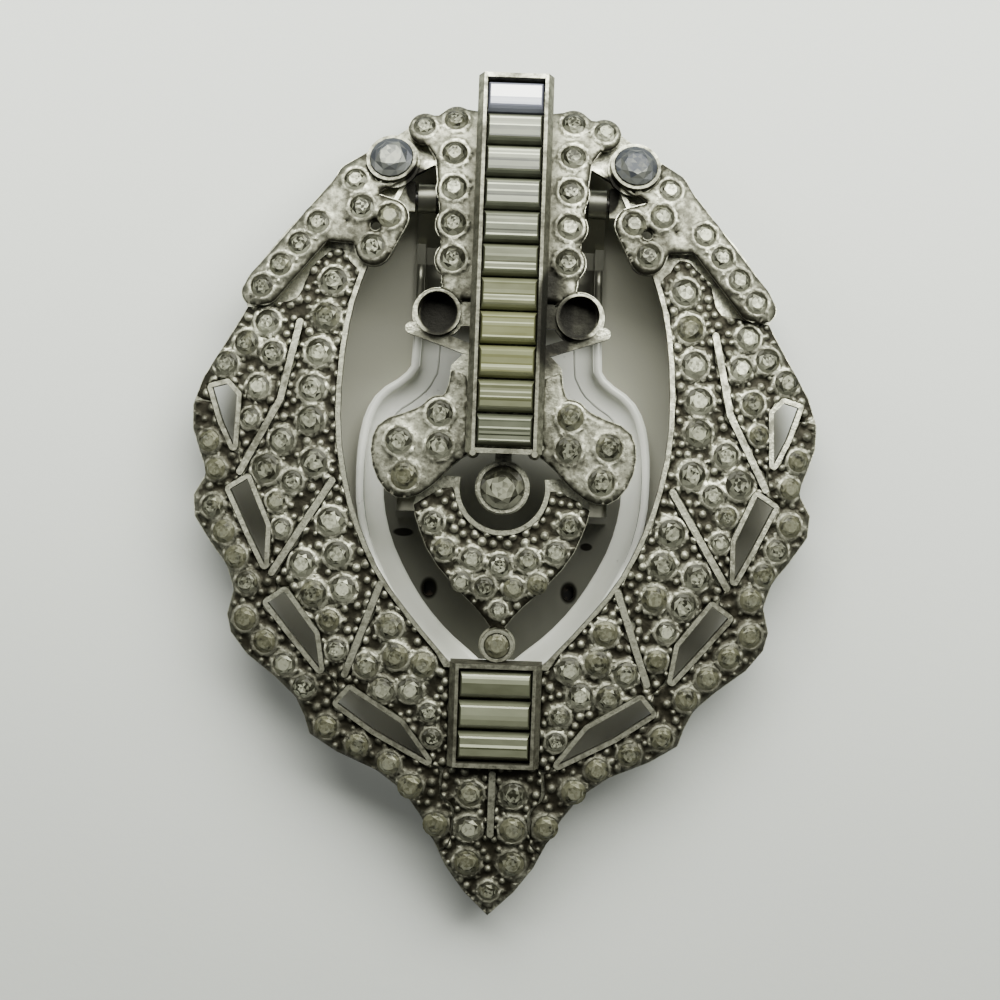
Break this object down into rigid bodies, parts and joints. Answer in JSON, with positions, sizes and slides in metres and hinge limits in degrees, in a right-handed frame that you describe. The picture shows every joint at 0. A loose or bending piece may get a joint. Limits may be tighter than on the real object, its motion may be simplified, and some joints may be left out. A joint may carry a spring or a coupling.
{
  "type": "dress clip",
  "caption": "Domed leaf-shaped dress clip of pierced cast metal set with glass stones, with a raised baguette column and a hinged sprung lever behind.",
  "frame": {"origin": "on the table below the middle of the outline's bounding box, the clip lying on its lever's flat back", "axes": "+X to the right of the front view, +Y towards the upper end of the column, +Z towards the viewer"},
  "size_m": [0.0424, 0.057, 0.0103],
  "materials": {
    "cast_metal": "rhodium-like plating over cast white metal, dulled and tarnished in the recesses",
    "polished_lever": "polished plated sheet with fine scratches",
    "steel_pin": "plain drawn pin",
    "spring_wire": "plain coiled spring wire",
    "baguette_glass": "step-cut foiled glass, some clear, some greyed",
    "round_glass": "brilliant-cut foiled glass, many with darkened foil"
  },
  "bodies": {
    "root": {"frame": "cast_metal", "hinge_pin": "steel_pin", "spring_coil": "spring_wire", "baguette_01": "baguette_glass", "baguette_02": "baguette_glass", "baguette_03": "baguette_glass", "baguette_04": "baguette_glass", "baguette_05": "baguette_glass", "baguette_06": "baguette_glass", "baguette_07": "baguette_glass", "baguette_08": "baguette_glass", "baguette_09": "baguette_glass", "baguette_10": "baguette_glass", "baguette_11": "baguette_glass", "block_baguette_1": "baguette_glass", "block_baguette_2": "baguette_glass", "block_baguette_3": "baguette_glass", "shoulder_stone_left": "round_glass", "shoulder_stone_right": "round_glass", "drop_stone": "round_glass", "small_stone": "round_glass", "wing_stones_left": "round_glass", "wing_stones_right": "round_glass", "edge_stones_left": "round_glass", "edge_stones_right": "round_glass", "shoulder_stones_left": "round_glass", "shoulder_stones_right": "round_glass", "point_stones": "round_glass", "strip_stones": "round_glass", "cluster_stones": "round_glass", "shield_stones": "round_glass"},
    "lever": {"clip_lever": "polished_lever"}
  },
  "joints": [
    {"name": "lever_hinge", "type": "hinge", "parent": "root", "child": "lever", "pos_m": [0, 0.0202, 0.0024], "axis": [1, 0, 0], "range_deg": [0, 60], "stiffness_Nm_per_rad": 0.02, "springref_deg": -20.05}
  ]
}
